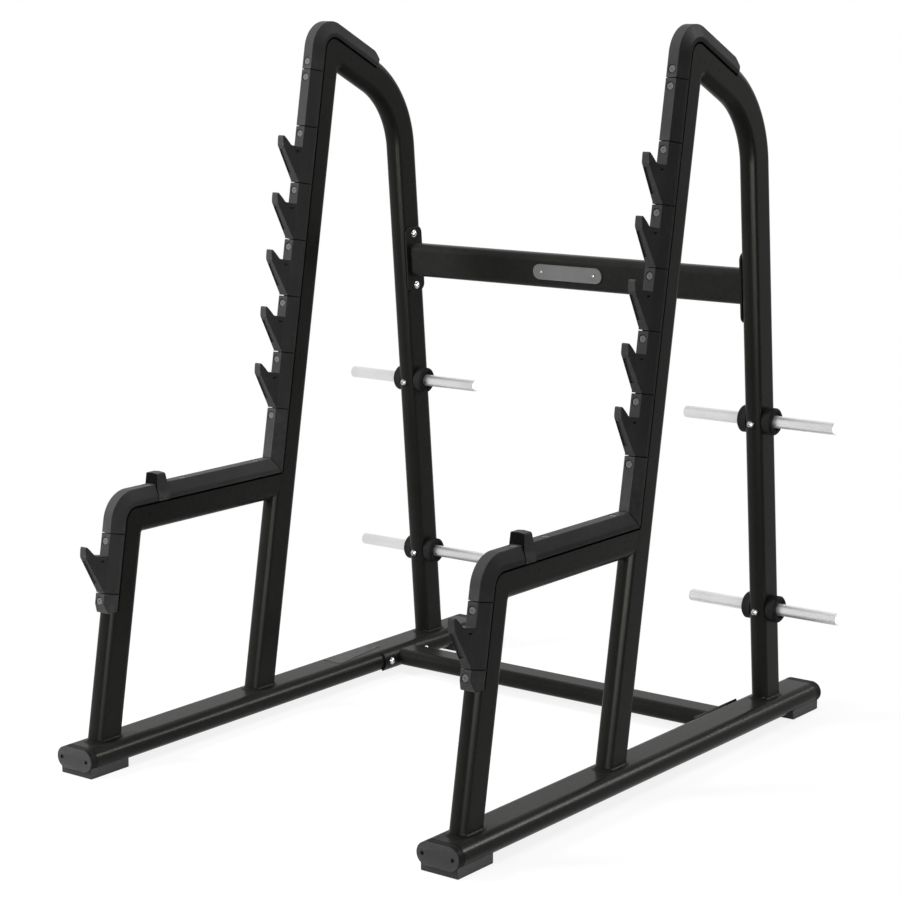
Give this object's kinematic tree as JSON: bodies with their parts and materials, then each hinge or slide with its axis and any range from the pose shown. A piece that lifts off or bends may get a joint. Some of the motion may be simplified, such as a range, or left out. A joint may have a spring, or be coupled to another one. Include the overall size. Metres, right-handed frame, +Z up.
{
  "type": "squat rack",
  "caption": "Open squat rack of flat-oval steel tube: two leaning side frames with moulded bar hooks, safety arms and disc horns, joined at the back by a crossbeam and a low cross tube.",
  "frame": {"origin": "on the floor at the middle of the rack's footprint", "axes": "+Z up, -Y the front where the lifter walks in, +X the rack's right as seen from the front"},
  "size_m": [1.602, 1.66, 1.8637],
  "materials": {
    "black_paint": "satin black powder coat",
    "guard_plastic": "moulded, fine matt grain",
    "stop_rubber": "matt",
    "cap_plastic": "moulded, matt",
    "foot_rubber": "matt",
    "horn_steel": "brushed along its turning",
    "badge_metal": "dark anodised, satin"
  },
  "bodies": {
    "root": {"badge": "badge_metal", "base_cross_tube": "black_paint", "crossbeam": "black_paint", "crossbeam_plate_left": "black_paint", "crossbeam_plate_right": "black_paint", "left_arm_guard": "guard_plastic", "left_arm_stop": "stop_rubber", "left_base_rail": "black_paint", "left_front_cap": "cap_plastic", "left_front_foot": "foot_rubber", "left_front_hook_guard": "guard_plastic", "left_front_post": "black_paint", "left_guard_end": "guard_plastic", "left_hook_guard_1": "guard_plastic", "left_hook_guard_2": "guard_plastic", "left_hook_guard_3": "guard_plastic", "left_hook_guard_4": "guard_plastic", "left_hook_guard_5": "guard_plastic", "left_lower_guard": "guard_plastic", "left_lower_horn": "horn_steel", "left_lower_inner_collar": "black_paint", "left_lower_outer_collar": "black_paint", "left_main_upright": "black_paint", "left_rear_cap": "cap_plastic", "left_rear_foot": "foot_rubber", "left_rear_upright": "black_paint", "left_safety_arm": "black_paint", "left_spacer_guard": "guard_plastic", "left_top_guard": "guard_plastic", "left_upper_horn": "horn_steel", "left_upper_inner_collar": "black_paint", "left_upper_outer_collar": "black_paint", "right_arm_guard": "guard_plastic", "right_arm_stop": "stop_rubber", "right_base_rail": "black_paint", "right_front_cap": "cap_plastic", "right_front_foot": "foot_rubber", "right_front_hook_guard": "guard_plastic", "right_front_post": "black_paint", "right_guard_end": "guard_plastic", "right_hook_guard_1": "guard_plastic", "right_hook_guard_2": "guard_plastic", "right_hook_guard_3": "guard_plastic", "right_hook_guard_4": "guard_plastic", "right_hook_guard_5": "guard_plastic", "right_lower_guard": "guard_plastic", "right_lower_horn": "horn_steel", "right_lower_inner_collar": "black_paint", "right_lower_outer_collar": "black_paint", "right_main_upright": "black_paint", "right_rear_cap": "cap_plastic", "right_rear_foot": "foot_rubber", "right_rear_upright": "black_paint", "right_safety_arm": "black_paint", "right_spacer_guard": "guard_plastic", "right_top_guard": "guard_plastic", "right_upper_horn": "horn_steel", "right_upper_inner_collar": "black_paint", "right_upper_outer_collar": "black_paint"}
  },
  "joints": []
}
